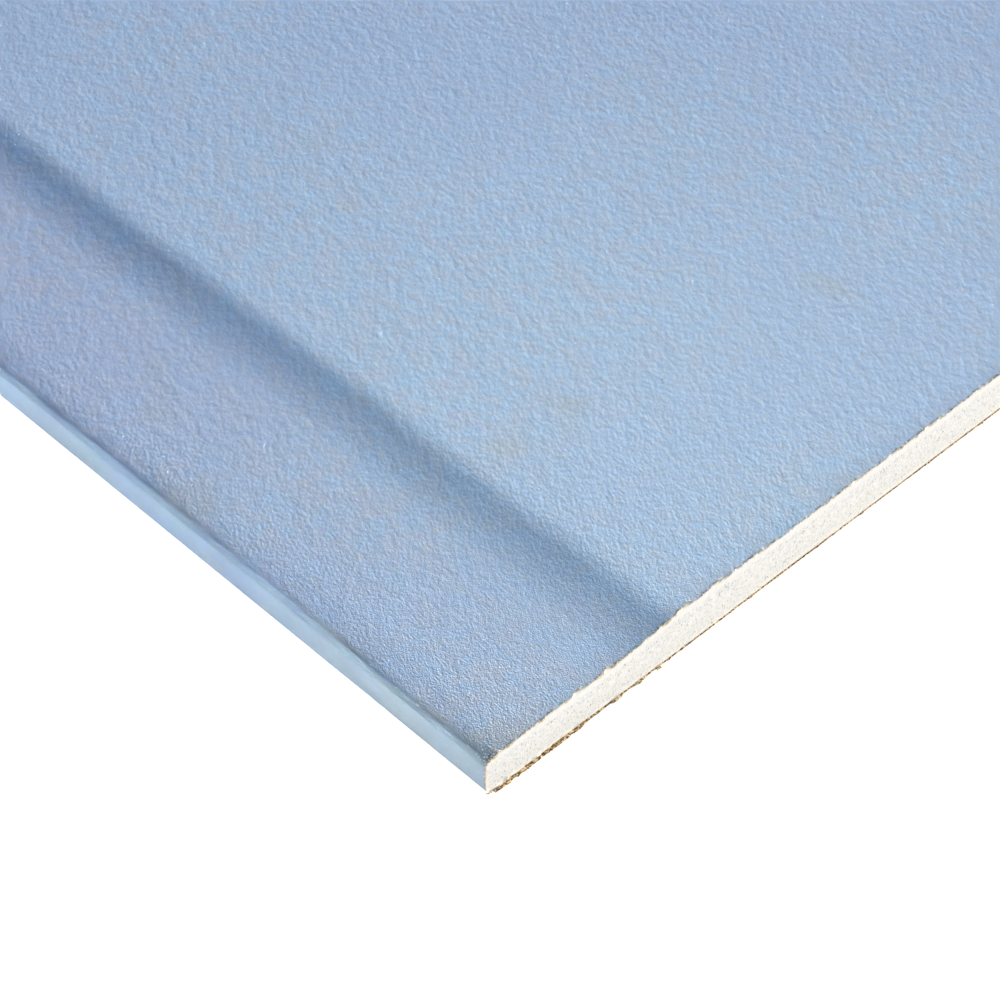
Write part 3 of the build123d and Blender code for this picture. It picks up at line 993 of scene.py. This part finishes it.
def gypsum():
    m = Nodes("gypsum_core_cut", 0.95, 0.12)
    x, y, z = m.xyz()
    w = m.math("SUBTRACT", SIDE, m.math("ABSOLUTE", y))
    drop = m.span(w, 36.0, 56.5, 1.9, 0.0)
    depth = m.math("SUBTRACT", 12.1, m.math("ADD", z, drop))  # below the face paper, about
    body = m.span(depth, 0.9, 2.8, 0.15, 1.0)
    tone = m.noise(1.7, 3.0, 0.75)
    col = m.mix(m.span(tone, 0.34, 0.66), CORE_A, CORE_B)
    col = m.mix(m.math("SUBTRACT", 1.0, body), col, CORE_TOP)
    col = m.mix(m.math("MULTIPLY", body, m.span(z, 7.5, 0.8)), col, CORE_LOW)
    warm = m.noise(1.0, 2.0, 0.7, 0.0, m.mapped(shift=(0.4, 0.6, 0.1)))
    col = m.mix(1.0, col, m.mix(m.span(warm, 0.36, 0.64), (1.0, 0.985, 0.945, 1.0), (0.985, 0.99, 1.01, 1.0)), "MULTIPLY")
    # fine grey speckle drawn out up the sawn face, and sparse pores painted darker with the shade inside them
    hatch = m.mapped((1, 2.0, 1), (56, 0, 0))
    speck = m.noise(0.31, 2.0, 0.7, 0.0, hatch)
    col = m.mix(m.math("MULTIPLY", body, m.span(speck, 0.49, 0.72, 0.0, 0.76)), col, srgb(178, 177, 174))
    cells = m.cells(0.95)
    size = m.noise(2.6, 1.0, 0.5)
    pore = m.math("SUBTRACT", m.span(size, 0.44, 0.78, 0.03, 0.29), cells)
    pore = m.math("MULTIPLY", m.span(pore, 0.0, 0.05), m.math("MULTIPLY_ADD", body, 0.95, 0.05))
    # painted shade: the pores are darkened grey
    col = m.mix(m.math("MULTIPLY", pore, 0.72), col, srgb(132, 129, 122))
    # painted light: the core is brightened near the floor, against the shade the torn back paper casts there
    col = m.mix(m.span(z, 2.0, 0.6), col, m.mix(1.0, col, (1.095, 1.095, 1.10, 1.0), "MULTIPLY"))
    m.colour(col)
    height = m.math("MULTIPLY", m.math("SUBTRACT", m.math("MULTIPLY", speck, -0.7), pore), m.math("MULTIPLY_ADD", body, 0.8, 0.2))
    m.bump(height, 0.08)
    return m.mat


CORE_A, CORE_B, CORE_TOP, CORE_LOW = srgb(253, 250, 242), srgb(243, 240, 232), srgb(253, 250, 241), srgb(243, 240, 230)


def kraft():
    """The plain brown back."""
    m = Nodes("back_kraft_paper", 0.9)
    fibre = m.noise(0.7, 3.0, 0.65, 0.8, m.mapped((4, 1, 1)))
    clump = m.noise(1.4, 2.0, 0.6, 0.2)
    wide = m.noise(90.0, 3.0, 0.5, 0.3)
    col = m.mix(m.span(wide, 0.3, 0.7), srgb(188, 160, 124), srgb(174, 145, 110))
    col = m.mix(m.span(fibre, 0.30, 0.72, 0.0, 0.6), col, srgb(205, 181, 148))
    fleck = m.noise(0.9, 1.0, 0.5, 1.5, m.mapped((5, 1, 1), (0, 0, 28)))
    col = m.mix(m.span(fleck, 0.66, 0.76, 0.0, 0.5), col, srgb(120, 92, 60))
    m.colour(col)
    m.bump(m.math("ADD", fibre, clump), 0.05)
    return m.mat


def torn_kraft():
    """The back paper's torn edge: a dark line at the core, which is painted shade of the gap there, and mottled gold
    where it stands out, with near-black spots of painted shade between the fibres.
    """
    m = Nodes("back_torn_edge", 0.92)
    out = m.mesh_tag()
    w = m.math("SUBTRACT", SIDE, m.math("ABSOLUTE", m.xyz()[1]))
    clump = m.noise(1.2, 2.0, 0.65)
    fine = m.noise(0.52, 1.0, 0.6)
    gold = m.mix(m.span(clump, 0.40, 0.60), srgb(136, 106, 64), srgb(204, 172, 122))
    gold = m.mix(m.span(fine, 0.55, 0.64, 0.0, 0.75), gold, srgb(242, 226, 194))
    # painted shade: near-black spots in the gaps between the torn fibres
    gold = m.mix(m.span(fine, 0.50, 0.42, 0.0, 0.92), gold, srgb(66, 50, 26))
    # painted shade: the dark line where the torn paper meets the core
    line = m.mix(m.span(fine, 0.35, 0.65), srgb(98, 84, 54), srgb(172, 150, 110))
    dusty = m.noise(2.0, 1.0, 0.7, 0.0, m.mapped(shift=(0.2, 0.1, 0.5)))
    line = m.mix(m.span(dusty, 0.45, 0.55, 0.0, 0.8), line, srgb(232, 224, 206))
    m.colour(m.mix(m.math("MAXIMUM", m.span(out, 0.30, 0.16), m.span(w, 34.0, 31.0)), line, gold))
    m.bump(m.math("ADD", fine, clump), 0.09)
    return m.mat


def plain_fibre(name, a, b):
    m = Nodes(name, 0.92)
    m.colour(m.mix(m.span(m.noise(0.9, 2.0, 0.6), 0.35, 0.65), a, b))
    m.bump(m.noise(0.3, 1.0, 0.5), 0.02)
    return m.mat


# --------------------------------------------------------------------------
# Build the pieces
# --------------------------------------------------------------------------
face = build_face().build("face_paper_skin", [blue_face(), outer_ply(), inner_ply()], sharp_deg=70)
core = build_core().build("gypsum_core_slab", [gypsum()], sharp_deg=50)
back = build_back().build("back_paper_sheet", [kraft(), torn_kraft()])
debris = build_debris().build("cut_edge_debris", [
    plain_fibre("debris_straw", srgb(190, 162, 118), srgb(228, 208, 172)),
    plain_fibre("debris_brown", srgb(88, 68, 40), srgb(140, 110, 68)),
    plain_fibre("debris_pale_blue", srgb(150, 166, 190), srgb(222, 224, 222)),
    plain_fibre("debris_chalk", srgb(232, 228, 216), srgb(250, 247, 238)),
    plain_fibre("debris_cream", srgb(232, 214, 180), srgb(246, 232, 206)),
    plain_fibre("debris_slate", srgb(80, 86, 92), srgb(122, 126, 127)),
], smooth_shade=False)

for piece, node, slot in ((face, "face_paper", "face_liner"), (core, "gypsum_core", "gypsum"), (back, "back_paper", "back_liner")):
    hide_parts(node)
    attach(piece, "root")
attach(debris, "root")
board = [face, core, back, debris]

# --------------------------------------------------------------------------
# Floor, light and camera
# --------------------------------------------------------------------------
scene = bpy.context.scene


def plane(name, corners, material=None):
    me = bpy.data.meshes.new(name)
    me.from_pydata([(x * MM, y * MM, z * MM) for x, y, z in corners], [], [(0, 1, 2, 3)])
    if material:
        me.materials.append(material)
    ob = bpy.data.objects.new(name, me)
    scene.collection.objects.link(ob)
    return ob


floor_mat = Nodes("studio_floor_white", 0.9, 0.1)
floor_mat.colour(floor_mat.mix(floor_mat.span(floor_mat.noise(400.0), 0.3, 0.7), srgb(240, 240, 240), srgb(243, 243, 243)))
R = 14000.0
ground = plane("studio_floor", [(-R, -R, -0.05), (R, -R, -0.05), (R, R, -0.05), (-R, R, -0.05)], floor_mat.mat)

# a studio flag that keeps the raking light off the upright face of the far long side
flag = plane("studio_flag", [(-1230, 600.7, 0.1), (1230, 600.7, 0.1), (1230, 600.7, 9.8), (-1230, 600.7, 9.8)])
for ray in ("camera", "diffuse", "glossy", "transmission", "volume_scatter"):
    setattr(flag, "visible_" + ray, False)


def only(ob, name, lit, shading):
    """Limits a lamp to the objects it lights and the ones that shade it."""
    for kind, objects in (("receiver", lit), ("blocker", shading)):
        c = bpy.data.collections.new(f"{name}_{kind}")
        for o in objects:
            c.objects.link(o)
        setattr(ob.light_linking, kind + "_collection", c)


def sun(name, azimuth, elevation, strength, angle, colour=(1, 1, 1), lit=None, shading=None):
    """A far soft light; azimuth turns from +X to +Y, and strength is what a white sheet facing it would show."""
    d = bpy.data.lights.new(name, "SUN")
    d.energy, d.angle, d.color = strength * PI, math.radians(angle), colour
    ob = bpy.data.objects.new(name, d)
    a, e = math.radians(azimuth), math.radians(elevation)
    to = Vector((math.cos(a) * math.cos(e), math.sin(a) * math.cos(e), math.sin(e)))
    ob.rotation_euler = to.to_track_quat("Z", "Y").to_euler()
    ob.location = to * 3
    scene.collection.objects.link(ob)
    only(ob, name, lit or board, shading or board)
    return ob


WARM = (1.0, 0.864, 0.714)
# the raking key from the far side, which draws the taper and the grain
sun("key_raking", 84, 8.5, 3.87, 17.0, WARM, lit=[face, back, debris], shading=board + [flag])
# soft fills, one towards each side of the board
sun("fill_front", -88, 3.0, 0.60, 5.0)
sun("fill_back", 90, 3.0, 0.45, 5.0)
sun("fill_far_end", 180, 3.0, 0.48, 5.0, lit=[core, back, debris])
sun("fill_cut_end", 38, 20.0, 0.475, 30.0, (1.0, 0.92, 0.88), lit=[core])
# the floor has its own light from above, which the board hardly shades
sun("floor_light", 0, 90.0, 1.0, 25.0, (1.0, 0.925, 0.81), lit=[ground], shading=[flag])
sun("floor_contact", 0, 90.0, 0.12, 60.0, lit=[ground])

# a small soft box over the near corner
d = bpy.data.lights.new("corner_soft_box", "AREA")
d.shape, d.size = "DISK", 0.10
d.energy = 0.0945
d.color = (1.0, 0.97, 0.60)
box = bpy.data.objects.new("corner_soft_box", d)
box.location = Vector((HALF - 20, 85 - SIDE, 205)) * MM
scene.collection.objects.link(box)
box.visible_camera = False
only(box, "corner_soft_box", board, board)

world = bpy.data.worlds.new("studio")
world.use_nodes = True
wn = world.node_tree
bg = wn.nodes["Background"]
bg.inputs["Color"].default_value = (0.40, 0.64, 1.0, 1.0)
bg.inputs["Strength"].default_value = 0.335
seen = wn.nodes.new("ShaderNodeBackground")
seen.inputs["Color"].default_value = (1.0, 1.0, 1.0, 1.0)
seen.inputs["Strength"].default_value = 1.0
path = wn.nodes.new("ShaderNodeLightPath")
mixed = wn.nodes.new("ShaderNodeMixShader")
wn.links.new(path.outputs["Is Camera Ray"], mixed.inputs[0])
wn.links.new(bg.outputs[0], mixed.inputs[1])
wn.links.new(seen.outputs[0], mixed.inputs[2])
wn.links.new(mixed.outputs[0], wn.nodes["World Output"].inputs[0])
scene.world = world

scene.view_settings.view_transform = "Standard"
scene.view_settings.look = "None"
scene.view_settings.exposure = 0.0
scene.view_settings.gamma = 1.0

cam = bpy.data.cameras.new("photo_camera")
cam.sensor_width = 36.0
cam.sensor_fit = "HORIZONTAL"
cam.lens = CAM_FOCAL_PX * 36.0 / 1000.0
cam.clip_start, cam.clip_end = 0.01, 50.0
cam_ob = bpy.data.objects.new("photo_camera", cam)
scene.collection.objects.link(cam_ob)
a, p = math.radians(CAM_AZIMUTH), math.radians(CAM_PITCH)
forward = Vector((-math.sin(a) * math.cos(p), math.cos(a) * math.cos(p), -math.sin(p)))
right = Vector((math.cos(a), math.sin(a), 0))
up = right.cross(forward)
place = (Vector((HALF, -SIDE, 0)) + Vector(CAM_FROM_CORNER)) * MM
cam_ob.matrix_world = Matrix.Translation(place) @ Matrix((right, up, -forward)).transposed().to_4x4()
scene.camera = cam_ob
